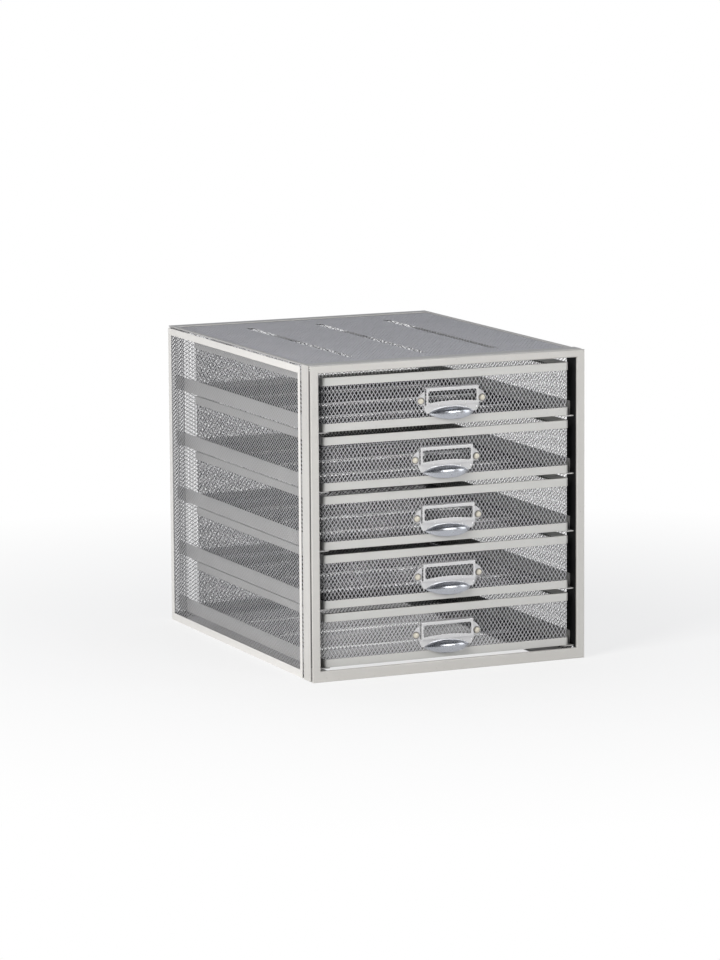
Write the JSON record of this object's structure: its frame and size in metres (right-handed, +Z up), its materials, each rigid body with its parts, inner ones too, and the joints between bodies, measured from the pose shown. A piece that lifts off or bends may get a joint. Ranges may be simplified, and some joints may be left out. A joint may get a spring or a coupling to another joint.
{
  "type": "desktop drawer cabinet",
  "caption": "Desktop cabinet in silver expanded metal mesh: shallow drawers slide out past a flat-bar front frame, each with a card-frame cup pull.",
  "frame": {"origin": "on the table, centre of the whole object's bounding box at its base", "axes": "+Z up; -Y out of the drawer fronts, the way the drawers open; +X to the right of someone facing them"},
  "size_m": [0.254, 0.3244, 0.267],
  "materials": {
    "frame_silver": "satin",
    "sheet_silver": "satin",
    "mesh_metal": "satin",
    "pull_chrome": "polished",
    "rivet_metal": "satin",
    "runner_steel": "satin"
  },
  "bodies": {
    "cabinet": {"left_frame_post": "frame_silver", "right_frame_post": "frame_silver", "top_frame_rail": "frame_silver", "bottom_frame_rail": "frame_silver", "left_collar": "sheet_silver", "right_collar": "sheet_silver", "top_collar": "sheet_silver", "bottom_collar": "sheet_silver", "left_side_mesh": "mesh_metal", "right_side_mesh": "mesh_metal", "top_mesh": "mesh_metal", "back_mesh": "mesh_metal", "left_top_strip": "sheet_silver", "left_front_strip": "sheet_silver", "left_back_strip": "sheet_silver", "left_bottom_angle": "sheet_silver", "left_cover_strip": "sheet_silver", "right_top_strip": "sheet_silver", "right_front_strip": "sheet_silver", "right_back_strip": "sheet_silver", "right_bottom_angle": "sheet_silver", "right_cover_strip": "sheet_silver", "back_cover_strip": "sheet_silver", "back_top_strip": "sheet_silver", "back_bottom_strip": "sheet_silver", "left_runner_1": "runner_steel", "right_runner_1": "runner_steel", "left_runner_2": "runner_steel", "right_runner_2": "runner_steel", "left_runner_3": "runner_steel", "right_runner_3": "runner_steel", "left_runner_4": "runner_steel", "right_runner_4": "runner_steel", "left_runner_5": "runner_steel", "right_runner_5": "runner_steel"},
    "drawer_1": {"drawer_1_tray": "mesh_metal", "drawer_1_top_band": "sheet_silver", "drawer_1_bottom_band": "sheet_silver", "drawer_1_pull": "pull_chrome", "drawer_1_rivets": "rivet_metal"},
    "drawer_2": {"drawer_2_tray": "mesh_metal", "drawer_2_top_band": "sheet_silver", "drawer_2_bottom_band": "sheet_silver", "drawer_2_pull": "pull_chrome", "drawer_2_rivets": "rivet_metal"},
    "drawer_3": {"drawer_3_tray": "mesh_metal", "drawer_3_top_band": "sheet_silver", "drawer_3_bottom_band": "sheet_silver", "drawer_3_pull": "pull_chrome", "drawer_3_rivets": "rivet_metal"},
    "drawer_4": {"drawer_4_tray": "mesh_metal", "drawer_4_top_band": "sheet_silver", "drawer_4_bottom_band": "sheet_silver", "drawer_4_pull": "pull_chrome", "drawer_4_rivets": "rivet_metal"},
    "drawer_5": {"drawer_5_tray": "mesh_metal", "drawer_5_top_band": "sheet_silver", "drawer_5_bottom_band": "sheet_silver", "drawer_5_pull": "pull_chrome", "drawer_5_rivets": "rivet_metal"}
  },
  "joints": [
    {"name": "drawer_1_slide", "type": "slide", "parent": "cabinet", "child": "drawer_1", "axis": [0, -1, 0], "range_m": [0, 0.2]},
    {"name": "drawer_2_slide", "type": "slide", "parent": "cabinet", "child": "drawer_2", "axis": [0, -1, 0], "range_m": [0, 0.2]},
    {"name": "drawer_3_slide", "type": "slide", "parent": "cabinet", "child": "drawer_3", "axis": [0, -1, 0], "range_m": [0, 0.2]},
    {"name": "drawer_4_slide", "type": "slide", "parent": "cabinet", "child": "drawer_4", "axis": [0, -1, 0], "range_m": [0, 0.2]},
    {"name": "drawer_5_slide", "type": "slide", "parent": "cabinet", "child": "drawer_5", "axis": [0, -1, 0], "range_m": [0, 0.2]}
  ]
}
